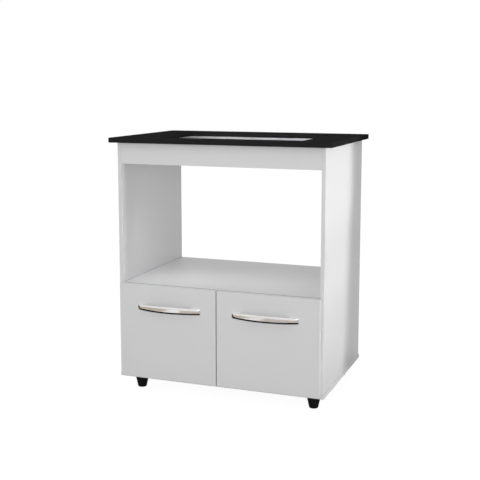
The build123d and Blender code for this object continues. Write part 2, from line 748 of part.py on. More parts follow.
    # Front of the drawer
    handle_middle = front_middle - bay_side * handle_shift
    handle_screw_xs = (handle_middle - handle_screw_spacing / 2, handle_middle + handle_screw_spacing / 2)
    handle_screw_places = [on((x, front_back_face, handle_screw_height), BACK) for x in handle_screw_xs]
    front_edges = (front_middle - front_width / 2, front_middle + front_width / 2)
    with BuildPart() as drawer_front:
        add(board(front_edges, (front_face, front_back_face), (front_bottom, front_top), front_rounding))
        block((bay_middle - box_inner_half - groove_depth, bay_middle + box_inner_half + groove_depth),
              (front_back_face - groove_depth, front_back_face + groove_depth), groove, mode=Mode.SUBTRACT)
        with Locations(*[on(place.origin, BACK) for place in drawer_dowel_places]):
            Hole(dowel_hole_radius, dowel_short_end + dowel_end_clearance)
        with Locations(*handle_screw_places):
            Hole(handle_screw_radius + shank_clearance, front_thickness)
    save(drawer_front, f"{drawer}_front")

    # Bow handle with a finger gap behind its middle
    with BuildPart() as handle:
        loft(sections=[handle_section(handle_middle, x, strap_reach(x, bow_radius)) for x in strap_stations])
        for end in SIDES.values():
            tip = handle_section(handle_middle, end * handle_length / 2, handle_tip_projection)
            loft(sections=[handle_section(handle_middle, end * strap_half, handle_end_projection), tip])
        with BuildSketch(Plane.XY.offset(handle_bottom)):
            with BuildLine():
                gap_left = (handle_middle - gap_half, front_face - gap_end_reach)
                gap_right = (handle_middle + gap_half, front_face - gap_end_reach)
                ThreePointArc(gap_left, (handle_middle, front_face - gap_middle_reach), gap_right)
                Polyline(gap_right, (gap_right[0], front_face), (gap_left[0], front_face), gap_left)
            make_face()
        extrude(amount=handle_middle_height, mode=Mode.SUBTRACT)
        with Locations(*[on((x, front_face, handle_screw_height), BACK) for x in handle_screw_xs]):
            Hole(handle_screw_radius + thread_clearance, handle_screw_grip + thread_clearance)
    save(handle, f"{drawer}_handle")

    # Fasteners of the drawer
    handle_screw = turned_screw(handle_screw_radius, front_thickness + handle_screw_grip,
                                handle_screw_head_radius, handle_screw_head_height, False)
    box_screw = turned_screw(long_screw_radius, box_screw_length, long_screw_head_radius, 0, True)
    group(handle_screw, handle_screw_places, f"{drawer}_handle_screws")
    group(box_screw, box_screw_places, f"{drawer}_box_screws")
    group(dowel.part, drawer_dowel_places, f"{drawer}_front_dowels")

group(short_screw, fixed_runner_screws, "channel_screws")
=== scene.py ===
"""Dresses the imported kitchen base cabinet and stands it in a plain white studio.

Lengths are in metres, in the cabinet's own frame: X to the right seen from the front, Y to the
back and Z up from the floor.
"""
import json
import logging
import math
from dataclasses import dataclass, field
from enum import Enum
from functools import cached_property
from typing import Any, Sequence

import bmesh
import bpy
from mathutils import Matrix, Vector

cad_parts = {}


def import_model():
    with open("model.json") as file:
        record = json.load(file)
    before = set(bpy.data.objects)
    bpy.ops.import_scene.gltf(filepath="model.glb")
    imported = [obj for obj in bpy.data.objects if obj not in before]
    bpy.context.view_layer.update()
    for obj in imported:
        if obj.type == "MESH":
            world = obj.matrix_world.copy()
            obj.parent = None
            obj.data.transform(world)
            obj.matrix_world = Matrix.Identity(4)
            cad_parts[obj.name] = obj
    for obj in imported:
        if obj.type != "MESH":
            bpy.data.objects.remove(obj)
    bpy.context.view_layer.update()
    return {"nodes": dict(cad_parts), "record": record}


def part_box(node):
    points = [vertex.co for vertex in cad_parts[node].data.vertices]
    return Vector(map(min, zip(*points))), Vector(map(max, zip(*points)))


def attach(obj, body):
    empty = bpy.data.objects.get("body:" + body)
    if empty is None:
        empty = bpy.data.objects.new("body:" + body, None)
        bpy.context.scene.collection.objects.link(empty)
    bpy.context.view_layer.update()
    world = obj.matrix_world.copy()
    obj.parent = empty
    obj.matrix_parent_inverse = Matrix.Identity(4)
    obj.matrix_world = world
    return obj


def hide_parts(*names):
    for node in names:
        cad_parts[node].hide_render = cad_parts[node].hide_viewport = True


LOG = logging.getLogger("cabinet")
MM = 0.001
SIDES = ("left", "right")
BOARD_SLOTS = ("white_board", "black_laminate", "hardboard")
WELD = 1e-6
Colour = tuple[float, float, float]
Point = tuple[float, float, float]
Pair = tuple[float, float]
Socket = bpy.types.NodeSocket
Material = bpy.types.Material


class Wire:
    """A number that flows through a node tree, with arithmetic that adds Math nodes."""

    def __init__(self, nodes: "Nodes", socket: Socket) -> None:
        """Keep the tree that the number lives in and the socket that gives it."""
        self.nodes = nodes
        self.socket = socket

    def apply(self, operation: str, *others: "Wire | float", first: bool = True) -> "Wire":
        """Add a Math node with this number as its first or last operand, and return the result."""
        operands = [self, *others] if first else [*others, self]
        return self.nodes.number("ShaderNodeMath", {"operation": operation}, dict(enumerate(operands)))

    def __add__(self, other: "Wire | float") -> "Wire":
        """Return the sum."""
        return self.apply("ADD", other)

    def __radd__(self, other: float) -> "Wire":
        """Return the sum with a plain number on the left."""
        return self.apply("ADD", other, first=False)

    def __sub__(self, other: "Wire | float") -> "Wire":
        """Return the difference."""
        return self.apply("SUBTRACT", other)

    def __rsub__(self, other: float) -> "Wire":
        """Return a plain number less this one."""
        return self.apply("SUBTRACT", other, first=False)

    def __mul__(self, other: "Wire | float") -> "Wire":
        """Return the product."""
        return self.apply("MULTIPLY", other)

    def __abs__(self) -> "Wire":
        """Return the size without its sign."""
        return self.apply("ABSOLUTE")

    def least(self, other: "Wire | float") -> "Wire":
        """Return the smaller of two numbers."""
        return self.apply("MINIMUM", other)

    def most(self, other: "Wire | float") -> "Wire":
        """Return the larger of two numbers."""
        return self.apply("MAXIMUM", other)

    def rise(self, low: float, high: float) -> "Wire":
        """Return 0 below low and 1 above high, with a smooth step between them."""
        return self.nodes.number("ShaderNodeMapRange", {"interpolation_type": "SMOOTHSTEP"},
                                 {"Value": self, "From Min": low, "From Max": high})

    def fall(self, low: float, high: float) -> "Wire":
        """Return 1 below low and 0 above high, with a smooth step between them."""
        return 1 - self.rise(low, high)


class Nodes:
    """A node tree and the one way in which nodes get into it."""

    def __init__(self, tree: bpy.types.NodeTree) -> None:
        """Start from an empty tree."""
        self.tree = tree
        tree.nodes.clear()

    def node(self, kind: str, settings: dict[str, Any] | None = None,
             sockets: dict[Any, Any] | None = None) -> bpy.types.Node:
        """Add a node with its settings first and then its sockets.

        Args:
            kind: the node's type.
            settings: its properties, where stops are a ramp's places and colours.
            sockets: a value, a wire, a socket or a list of sockets, by the input's name or number.

        Returns:
            The new node.
        """
        made = self.tree.nodes.new(kind)
        for name, value in (settings or {}).items():
            if name == "stops":
                self.set_stops(made.color_ramp, value)
            else:
                setattr(made, name, value)
        for key, value in (sockets or {}).items():
            sources = value if isinstance(value, list) else [value]
            if isinstance(sources[0], (Wire, Socket)):
                for source in sources:
                    given = source.socket if isinstance(source, Wire) else source
                    self.tree.links.new(given, made.inputs[key])
            else:
                made.inputs[key].default_value = value
        return made

    def number(self, kind: str, settings: dict[str, Any] | None = None,
               sockets: dict[Any, Any] | None = None, output: int | str = 0) -> Wire:
        """Add a node and return one of its outputs as a number."""
        return Wire(self, self.node(kind, settings, sockets).outputs[output])

    @staticmethod
    def set_stops(ramp: bpy.types.ColorRamp, stops: Sequence[tuple[float, Colour]]) -> None:
        """Give a colour ramp its stops: places from 0 to 1, in rising order, with a colour each."""
        while len(ramp.elements) < len(stops):
            ramp.elements.new(1.0)
        for element, (place, colour) in zip(ramp.elements, stops):
            element.position = place
            element.color = (*colour, 1)

    def axes(self, socket: Socket) -> tuple[Wire, Wire, Wire]:
        """Split a vector into its three parts."""
        split = self.node("ShaderNodeSeparateXYZ", sockets={0: socket})
        return tuple(Wire(self, split.outputs[i]) for i in range(3))

    def seen_directly(self) -> Wire:
        """Return 1 for rays from the camera, from gloss and through glass, and 0 for others."""
        path = self.node("ShaderNodeLightPath")
        camera, glossy, through = (Wire(self, path.outputs[name]) for name in
                                   ("Is Camera Ray", "Is Glossy Ray", "Is Transmission Ray"))
        return camera.most(glossy).most(through)


class Shader(Nodes):
    """One material's node tree, from its coordinates to its surface."""

    def __init__(self, name: str) -> None:
        """Start an empty material of that name."""
        self.material = bpy.data.materials.new(name)
        self.material.use_nodes = True
        super().__init__(self.material.node_tree)

    @cached_property
    def place(self) -> bpy.types.Node:
        """Return the material's coordinates, which are added when they are first asked for."""
        return self.node("ShaderNodeTexCoord")

    def position(self) -> tuple[Wire, Wire, Wire]:
        """Return the place on the piece, in metres."""
        return self.axes(self.place.outputs["Object"])

    def facing(self) -> tuple[Wire, Wire, Wire]:
        """Return the surface's direction in the piece's own frame."""
        return self.axes(self.place.outputs["Normal"])

    def stretched(self, scale: Sequence[float]) -> Socket:
        """Return the place on the piece, stretched for a pattern."""
        mapping = self.node("ShaderNodeMapping", {"vector_type": "POINT"},
                            {"Vector": self.place.outputs["Object"], "Scale": scale})
        return mapping.outputs[0]

    def noise(self, scale: float, detail: float = 2, place: Socket | None = None,
              roughness: float = 0.5) -> Wire:
        """Return smooth noise from 0 to 1, at a number of waves per metre."""
        sockets = {"Vector": place or self.place.outputs["Object"], "Scale": scale, "Detail": detail,
                   "Roughness": roughness}
        return self.number("ShaderNodeTexNoise", sockets=sockets)

    def cells(self, scale: float, place: Socket) -> tuple[Wire, Socket]:
        """Return the distance and the random colour of cells, at a number of cells per metre."""
        made = self.node("ShaderNodeTexVoronoi", sockets={"Vector": place, "Scale": scale})
        return Wire(self, made.outputs["Distance"]), made.outputs["Color"]

    def ramp(self, amount: Wire, stops: Sequence[tuple[float, Colour]]) -> Socket:
        """Return a colour picked from stops by an amount."""
        return self.node("ShaderNodeValToRGB", {"stops": stops}, {"Fac": amount}).outputs[0]

    def blend(self, amount: Wire | float, low: Any, high: Any) -> Socket:
        """Return low where the amount is 0, high where it is 1 and a mix between them."""
        colours = [(*c, 1) if isinstance(c, tuple) else c for c in (low, high)]
        sockets = {0: amount, 6: colours[0], 7: colours[1]}
        return self.node("ShaderNodeMix", {"data_type": "RGBA"}, sockets).outputs[2]

    def shade(self, colour: Socket | Colour, amount: Wire) -> Socket:
        """Return a colour made darker or lighter by a factor near 1."""
        grey = self.node("ShaderNodeCombineXYZ", sockets={0: amount, 1: amount, 2: amount})
        made = self.node("ShaderNodeVectorMath", {"operation": "MULTIPLY"}, {0: colour, 1: grey.outputs[0]})
        return made.outputs[0]

    def bump(self, height: Wire, distance: float, strength: float = 1.0) -> Socket:
        """Return a normal pushed by a height, which is 1 at the given distance in metres."""
        sockets = {"Strength": strength, "Distance": distance, "Height": height}
        return self.node("ShaderNodeBump", sockets=sockets).outputs[0]

    def surface(self, **sockets: Any) -> Material:
        """End the tree in a Principled surface.

        Args:
            sockets: its sockets, with underscores for the spaces in their names.

        Returns:
            The finished material.
        """
        named = {key.replace("_", " "): value for key, value in sockets.items()}
        colour = named.get("Base Color")
        if isinstance(colour, tuple):
            named["Base Color"] = (*colour, 1)
        return self.ended(self.node("ShaderNodeBsdfPrincipled", sockets=named))

    def ended(self, last: bpy.types.Node) -> Material:
        """Join the last shader to the output and return the finished material."""
        self.node("ShaderNodeOutputMaterial", sockets={0: last.outputs[0]})
        return self.material


class Face(Enum):
    """A face of a board, by its axis and the way it looks along it."""

    LEFT = (0, -1)
    RIGHT = (0, 1)
    FRONT = (1, -1)
    REAR = (1, 1)
    BOTTOM = (2, -1)
    TOP = (2, 1)


UPRIGHT_RAW = (Face.REAR, Face.TOP, Face.BOTTOM)
RAIL_RAW = (Face.TOP, Face.LEFT, Face.RIGHT)


@dataclass(frozen=True)
class ChipCore:
    """The particle board that shows on raw edges and inside drilled holes."""

    chips_per_metre: float = 420.0
    chip_stretch: float = 2.6
    chip_share: float = 0.75
    grit_per_metre: float = 900.0
    grit_share: float = 0.3
    pale: Colour = (0.62, 0.47, 0.31)
    middle: Colour = (0.45, 0.32, 0.20)
    dark: Colour = (0.22, 0.14, 0.08)

    def colour(self, shader: Shader, thin_axis: int) -> tuple[Socket, Wire]:
        """Add chips that lie flat in the board.

        Args:
            shader: the material that they are added to.
            thin_axis: the axis of the board's thickness.

        Returns:
            The colour and the height of the chips.
        """
        scale = [1.0, 1.0, 1.0]
        scale[thin_axis] = self.chip_stretch
        place = shader.stretched(scale)
        distance, random_colour = shader.cells(self.chips_per_metre, place)
        tone = shader.axes(random_colour)[0] * self.chip_share
        tone = tone + shader.noise(self.grit_per_metre, 3, place) * self.grit_share
        colour = shader.ramp(tone, [(0.12, self.dark), (0.45, self.middle), (0.85, self.pale)])
        return colour, tone + distance


@dataclass(frozen=True)
class Melamine:
    """A paper-faced particle board with thin edge bands."""

    name: str
    face: Colour
    band: Colour
    roughness: float
    specular: float
    band_thickness: float = 0.45 * MM
    seam_width: float = 0.22 * MM
    seam_core: float = 0.4
    seam_depth: float = 0.16
    # Painted shade: a fine dark line along faces that meet another board or a narrow gap, standing for the
    # shadow in the gap.
    joint_shade_width: float = 3.0 * MM
    joint_shade_core: float = 0.35
    joint_shade_depth: float = 0.42
    grain_per_metre: float = 2600.0
    grain_height: float = 0.012 * MM
    grain_strength: float = 0.6
    core: ChipCore | None = field(default_factory=ChipCore)
    least_tone: float = 0.984
    mottle: tuple[Pair, ...] = ((5.0, 0.02), (60.0, 0.012))
    sheen: Pair = (18.0, 0.06)
    edge_turn: Pair = (0.35, 0.75)
    raw_turn: Pair = (0.5, 0.8)
    raw_depth: Pair = (0.3 * MM, 0.6 * MM)
    skin: Pair = (0.38 * MM, 0.55 * MM)
    raw_roughness: float = 0.9
    chip_relief: float = 6.0

    def for_board(self, node: str, raw: Sequence[Face], joints: Sequence[Face] = ()) -> Material:
        """Make the board's material, which knows where its faces and edges lie.

        Args:
            node: the board's name in the frame.
            raw: its edges that have no band.
            joints: its faces that meet another board or a narrow gap, along which a fine line of painted
                shade stands for the gap's shadow.

        Returns:
            The material.
        """
        shader = Shader(f"{self.name}_{node}")
        low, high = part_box(node)
        size = high - low
        thin_axis = min(range(3), key=lambda axis: size[axis])
        place, facing = shader.position(), shader.facing()
        gaps = {face: (place[face.value[0]] - low[face.value[0]]) if face.value[1] < 0
                else (high[face.value[0]] - place[face.value[0]]) for face in Face}
        on_edge = abs(facing[thin_axis]).fall(*self.edge_turn)
        banded = [face for face in Face if face not in raw and face.value[0] != thin_axis]
        seam = None
        for face in banded:
            off_seam = abs(gaps[face] - self.band_thickness)
            line = off_seam.fall(self.seam_width * self.seam_core, self.seam_width)
            seam = line if seam is None else seam.most(line)
        tone = self.least_tone
        for waves, share in self.mottle:
            tone = tone + shader.noise(waves, 2) * share
        if seam is not None:
            tone = tone - seam * (1 - on_edge) * self.seam_depth
        # Painted shade: darken the face along each such joint, for the shadow in the gap.
        for face in joints:
            dark = gaps[face].fall(self.joint_shade_width * self.joint_shade_core, self.joint_shade_width)
            tone = tone - dark * self.joint_shade_depth
        colour = shader.shade(shader.blend(on_edge, self.face, self.band), tone)
        height = shader.noise(self.grain_per_metre, 3)
        roughness = self.roughness + shader.noise(self.sheen[0], 2) * self.sheen[1]
        if self.core is not None:
            opened = self.opened(gaps, facing, raw)
            chip_colour, chip_height = self.core.colour(shader, thin_axis)
            colour = shader.blend(opened, colour, chip_colour)
            height = height * (1 - opened) + chip_height * opened * self.chip_relief
            roughness = roughness + opened * (self.raw_roughness - self.roughness)
        return shader.surface(Base_Color=colour, Roughness=roughness, Specular_IOR_Level=self.specular,
                              Normal=shader.bump(height, self.grain_height, self.grain_strength))

    def opened(self, gaps: dict[Face, Wire], facing: Sequence[Wire], raw: Sequence[Face]) -> Wire:
        """Tell where the board's inside shows.

        Args:
            gaps: the distance in from each face of the board.
            facing: the surface's direction.
            raw: the edges that have no band.

        Returns:
            1 on raw edges and inside drilled holes, and 0 on faces and bands.
        """
        depth = gaps[Face.LEFT]
        for face in list(Face)[1:]:
            depth = depth.least(gaps[face])
        shown = depth.rise(*self.skin)
        for face in raw:
            axis, way = face.value
            shown = shown.most((facing[axis] * way).rise(*self.raw_turn) * gaps[face].fall(*self.raw_depth))
        return shown


@dataclass(frozen=True)
class Hardboard:
    """A thin pressed fibre board, painted on one face."""

    name: str
    painted: Face
    paint: Colour = (0.76, 0.76, 0.75)
    fibre: Colour = (0.30, 0.185, 0.105)
    fibre_dark: Colour = (0.17, 0.095, 0.05)

    def material(self) -> Material:
        """Make the material, with paint on the face that looks the painted way."""
        shader = Shader(self.name)
        axis, way = self.painted.value
        painted = (shader.facing()[axis] * way).rise(0.4, 0.7)
        hairs = shader.noise(700.0, 5, shader.stretched((1.0, 1.0, 2.2)), 0.7)
        mesh = shader.noise(90.0, 3)
        raw = shader.ramp(hairs * 0.7 + mesh * 0.3, [(0.3, self.fibre_dark), (0.7, self.fibre)])
        paint = shader.shade(self.paint, 0.98 + shader.noise(40.0) * 0.04)
        roughness = 0.78 - painted * 0.33
        return shader.surface(
            Base_Color=shader.blend(painted, raw, paint), Roughness=roughness,
            Normal=shader.bump(hairs, 0.05 * MM, 0.7))


@dataclass(frozen=True)
class MouldedPlastic:
    """A moulded plastic with a fine spark texture."""

    name: str
    colour: Colour
    roughness: float
    specular: float = 0.5
    grain_per_metre: float = 1800.0

    def material(self) -> Material:
        """Make the material."""
        shader = Shader(self.name)
        grain = shader.noise(self.grain_per_metre, 2)
        scuff = shader.noise(45.0, 4, roughness=0.7).rise(0.55, 0.8)
        colour = shader.shade(self.colour, 0.94 + scuff * 0.25)
        return shader.surface(
            Base_Color=colour, Roughness=self.roughness + scuff * 0.12, Specular_IOR_Level=self.specular,
            Normal=shader.bump(grain, 0.02 * MM, 0.8))


@dataclass(frozen=True)
class BrushedMetal:
    """A plated or bare metal with fine lines along X and a faint stain."""

    name: str
    colour: Colour
    tint: Colour
    roughness: float
    lines_per_metre: float = 2200.0
    line_stretch: float = 0.04
    line_roughness: float = 0.14
    stains_per_metre: float = 160.0
    stain_detail: float = 3
    stain_limits: Pair = (0.35, 0.7)
    stain_roughness: float = 0.05
    relief: float = 0.01 * MM
    relief_strength: float = 0.5

    def material(self) -> Material:
        """Make the material."""
        shader = Shader(self.name)
        lines = shader.noise(self.lines_per_metre, 2, shader.stretched((self.line_stretch, 1.0, 1.0)))
        stain = shader.noise(self.stains_per_metre, self.stain_detail)
        return shader.surface(
            Base_Color=shader.blend(stain.rise(*self.stain_limits), self.colour, self.tint), Metallic=1.0,
            Roughness=self.roughness + lines * self.line_roughness + stain * self.stain_roughness,
            Normal=shader.bump(lines, self.relief, self.relief_strength))


@dataclass(frozen=True)
class PowderCoat:
    """An epoxy coat on sheet steel, with a slight orange peel."""

    name: str
    colour: Colour
    roughness: float = 0.32

    def material(self) -> Material:
        """Make the material."""
        shader = Shader(self.name)
        peel = shader.noise(650.0, 2)
        rub = shader.noise(30.0, 4, shader.stretched((1.0, 0.12, 1.0)), 0.7).rise(0.58, 0.8)
        colour = shader.blend(rub * 0.25, self.colour, (0.55, 0.55, 0.54))
        return shader.surface(Base_Color=colour, Roughness=self.roughness + rub * 0.15,
                              Normal=shader.bump(peel, 0.03 * MM, 0.5))


@dataclass(frozen=True)
class Beech:
    """Plain turned beech with short dark flecks."""

    name: str
    pale: Colour = (0.66, 0.48, 0.30)
    dark: Colour = (0.45, 0.29, 0.16)

    def material(self) -> Material:
        """Make the material."""
        shader = Shader(self.name)
        fleck = shader.noise(1400.0, 2, shader.stretched((0.15, 1.0, 1.0)))
        rings = shader.noise(300.0, 3, shader.stretched((0.08, 1.0, 1.0)))
        colour = shader.blend(fleck.rise(0.62, 0.7) * 0.5 + rings * 0.35, self.pale, self.dark)
        return shader.surface(Base_Color=colour, Roughness=0.6, Normal=shader.bump(rings, 0.02 * MM))


@dataclass(frozen=True)
class SoftPad:
    """A cast polyurethane bumper, a little cloudy."""

    name: str
    colour: Colour = (0.74, 0.74, 0.72)

    def material(self) -> Material:
        """Make the material."""
        shader = Shader(self.name)
        cloud = shader.noise(400.0, 2)
        colour = shader.shade(self.colour, 0.95 + cloud * 0.08)
        return shader.surface(Base_Color=colour, Roughness=0.22 + cloud * 0.1)


@dataclass
class Wardrobe:
    """Every finish of the cabinet, made once and handed out by name."""

    white: Melamine = Melamine("white_board", (0.86, 0.86, 0.868), (0.85, 0.85, 0.852), 0.42, 0.25)
    black: Melamine = Melamine("black_laminate", (0.033, 0.033, 0.0335), (0.024, 0.024, 0.024), 0.70, 0.0,
                               seam_depth=0.3, core=None)
    recipes: tuple[Any, ...] = (
        MouldedPlastic("black_plastic", (0.016, 0.016, 0.016), 0.45, 0.10),
        MouldedPlastic("roller_nylon", (0.83, 0.83, 0.80), 0.38),
        BrushedMetal("zinc_steel", (0.66, 0.66, 0.65), (0.60, 0.59, 0.55), 0.24),
        BrushedMetal("handle_chrome", (0.73, 0.725, 0.72), (0.69, 0.68, 0.67), 0.11,
                     lines_per_metre=5200.0, line_stretch=0.02, line_roughness=0.05, stains_per_metre=26.0,
                     stain_detail=2, stain_limits=(0.4, 0.7), stain_roughness=0.03, relief=0.002 * MM,
                     relief_strength=0.3),
        PowderCoat("coated_steel", (0.78, 0.78, 0.76)),
        Beech("beech"),
        SoftPad("bumper_rubber"),
    )
    made: dict[str, Material] = field(default_factory=dict)

    def finish(self, name: str) -> Material:
        """Return the material of a plain finish, which is made at its first use."""
        if name not in self.made:
            self.made[name] = next(recipe for recipe in self.recipes if recipe.name == name).material()
        return self.made[name]


def dress(node: bpy.types.Object, material: Material) -> None:
    """Give a piece one material all over."""
    if not node.material_slots:
        node.data.materials.append(material)
    for slot in node.material_slots:
        slot.material = material


@dataclass
class Boards:
    """The white boards, the black top and the thin panels."""

    nodes: dict[str, bpy.types.Object]
    wardrobe: Wardrobe
    raw_edges: dict[str, tuple[Face, ...]] = field(default_factory=lambda: {
        "side_panel_left": UPRIGHT_RAW,
        "side_panel_right": UPRIGHT_RAW,
        "base_board": (),
        "niche_shelf": (Face.REAR, Face.LEFT, Face.RIGHT),
        "centre_partition": UPRIGHT_RAW,
        "front_rail": RAIL_RAW,
        "rear_rail": RAIL_RAW,
    })
    # Faces that get a fine line of painted shade: the shelf's ends against its neighbours and its front
    # edge along the gap to the drawer fronts.
    joint_shade_faces: dict[str, tuple[Face, ...]] = field(default_factory=lambda: {
        "niche_shelf": (Face.LEFT, Face.RIGHT, Face.FRONT),
    })
    drawer_raw_edges: dict[str, tuple[Face, ...]] = field(default_factory=lambda: {
        "front": (),
        "side_left": (Face.REAR, Face.FRONT, Face.BOTTOM),
        "side_right": (Face.REAR, Face.FRONT, Face.BOTTOM),
        "back": (Face.LEFT, Face.RIGHT, Face.BOTTOM),
    })

    def build(self) -> None:
        """Dress every board."""
        plan = dict(self.raw_edges)
        for side in SIDES:
            plan.update({f"{side}_drawer_{part}": raw for part, raw in self.drawer_raw_edges.items()})
        for node, raw in plan.items():
            joints = self.joint_shade_faces.get(node, ())
            dress(self.nodes[node], self.wardrobe.white.for_board(node, raw, joints))
        dress(self.nodes["countertop"], self.wardrobe.black.for_board("countertop", ()))
        dress(self.nodes["back_panel"], Hardboard("back_hardboard", Face.FRONT).material())
        for side in SIDES:
            bottom = Hardboard(f"{side}_drawer_hardboard", Face.TOP).material()
            dress(self.nodes[f"{side}_drawer_bottom"], bottom)
        LOG.info("dressed %d boards and three thin panels", len(plan) + 1)


def linked(name: str, data: bpy.types.ID) -> bpy.types.Object:
    """Put an object with some data into the scene."""
    made = bpy.data.objects.new(name, data)
    bpy.context.scene.collection.objects.link(made)
    return made


def new_piece(name: str, mesh: bpy.types.Mesh, body: str, slot: str, *replaced: str) -> None:
    """Put a finished mesh into the scene in place of CAD nodes.

    Args:
        name: the piece's name.
        mesh: its mesh, already in place.
        body: the body that it rides on.
        slot: the record's material slot; not used.
        replaced: the nodes that it stands for.
    """
    piece = linked(name, mesh)
    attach(piece, body)
    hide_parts(*replaced)
    LOG.info("%s: %d faces on %s", name, len(mesh.polygons), body)


@dataclass
class BowHandle:
    """The faceted bow handle of one drawer, on two posts with a finger gap between them."""

    drawer: str
    material: Material
    end_reach: float = 4.5 * MM
    tip_reach: float = 1.5 * MM
    tip_length: float = 3.0 * MM
    tip_facet: float = 7.5 * MM
    end_height: float = 16.0 * MM
    strap: float = 5.0 * MM
    gap_half: float = 74.0 * MM
    top_facet: Pair = (4.8 * MM, 2.4 * MM)
    lower_facet: Pair = (5.7 * MM, 2.2 * MM)
    least_facet: float = 0.2 * MM
    edge_round: float = 0.55 * MM
    round_share: float = 0.4
    round_steps: tuple[float, ...] = (0, 0.25, 0.5, 0.75, 1)
    stations: int = 72
    sharp_angle: float = 28.0

    def build(self) -> None:
        """Make the handle and put it in place of its node."""
        node = f"{self.drawer}_handle"
        self.low, self.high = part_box(node)
        self.half = (self.high.x - self.low.x) / 2
        self.middle = (self.high.x + self.low.x) / 2
        self.reach = self.high.y - self.low.y
        self.bow_half = self.half - self.tip_length
        rise = self.reach - self.end_reach
        self.radius = (self.bow_half ** 2 + rise ** 2) / (2 * rise)
        mesh = self.make_mesh(f"{node}_bow")
        mesh.materials.append(self.material)
        new_piece(f"{node}_bow", mesh, self.drawer, "handle_chrome", node)

    def bow(self, x: float, radius: float) -> float:
        """Return how far an arc about the bow's centre stands off the front."""
        return self.reach - self.radius + math.sqrt(radius ** 2 - x ** 2)

    def section(self, x: float, reach: float, back: float) -> list[Vector]:
        """Return the strap's outline across X.

        Args:
            x: the distance from the handle's middle.
            reach: how far the outer side stands off the front.
            back: how far the inner side stands off the front.

        Returns:
            Points from the lower inner edge round the outer side to the upper inner edge.
        """
        share = (x / self.half) ** 2
        middle_height = self.high.z - self.low.z
        top = self.low.z + middle_height - (middle_height - self.end_height) * share
        wall, outer = self.high.y, self.high.y - reach
        lower_cut = min(self.lower_facet[1], reach / 2)
        upper_cut = min(self.top_facet[1], reach / 2)
        fade = (reach - self.tip_reach) / (self.end_reach - self.tip_reach)
        upper_height = min(self.top_facet[0], max(self.least_facet, self.top_facet[0] * fade))
        corners = [
            (wall - back, self.low.z), (outer + lower_cut, self.low.z),
            (outer, self.low.z + self.lower_facet[0]),
            (outer, top - upper_height), (outer + upper_cut, top), (wall - back, top),
        ]
        spots = [Vector((self.middle + x, *corner)) for corner in corners]
        outline = [spots[0]]
        for before, corner, after in zip(spots, spots[1:], spots[2:]):
            room = min((before - corner).length, (after - corner).length) * self.round_share
            cut = min(self.edge_round, room)
            start = corner + (before - corner).normalized() * cut
            end = corner + (after - corner).normalized() * cut
            outline += [start.lerp(corner, t).lerp(corner.lerp(end, t), t) for t in self.round_steps]
        return outline + [spots[-1]]

    def make_mesh(self, name: str) -> bpy.types.Mesh:
        """Join the sections from tip to tip into a closed mesh."""
        straight = self.half - self.tip_facet
        steps = [straight * (2 * i / self.stations - 1) for i in range(self.stations + 1)]
        gap = self.radius - self.strap
        outer = [self.gap_half, *[x for x in steps if x > self.gap_half]]
        posts = [(x, self.bow(x, self.radius), 0.0) for x in outer] + [(self.half, self.tip_reach, 0.0)]
        inner = [-self.gap_half, *[x for x in steps if abs(x) < self.gap_half], self.gap_half]
        rows = [(-x, reach, back) for x, reach, back in reversed(posts)]
        rows += [(x, self.bow(x, self.radius), self.bow(x, gap)) for x in inner] + posts
        bm = bmesh.new()
        rings = [[bm.verts.new(spot) for spot in self.section(*row)] for row in rows]
        bridge(bm, rings)
        bm.faces.new(rings[0])
        bm.faces.new(rings[-1])
        bmesh.ops.remove_doubles(bm, verts=bm.verts, dist=WELD)
        return smooth_mesh(bm, name, self.sharp_angle)


def bridge(bm: bmesh.types.BMesh, rings: Sequence[Sequence[bmesh.types.BMVert]]) -> None:
    """Join each closed ring of points to the next one with faces."""
    for ring, following in zip(rings, rings[1:]):
        for i in range(len(ring)):
            j = (i + 1) % len(ring)
            bm.faces.new((ring[i], ring[j], following[j], following[i]))


def smooth_mesh(bm: bmesh.types.BMesh, name: str, sharp_angle: float) -> bpy.types.Mesh:
    """Turn a closed bmesh into a smooth mesh whose faces point outwards.

    Args:
        bm: the shape, which is freed.
        name: the mesh's name.
        sharp_angle: the angle in degrees past which an edge stays sharp.

    Returns:
        The mesh.
    """
    bmesh.ops.recalc_face_normals(bm, faces=bm.faces)
    mesh = bpy.data.meshes.new(name)
    bm.to_mesh(mesh)
    bm.free()
    mesh.polygons.foreach_set("use_smooth", [True] * len(mesh.polygons))
    mesh.set_sharp_from_angle(angle=math.radians(sharp_angle))
    return mesh


class Head(Enum):
    """The head of a fastener."""

    COUNTERSUNK = "countersunk"
    PAN = "pan"
    NAIL = "nail"


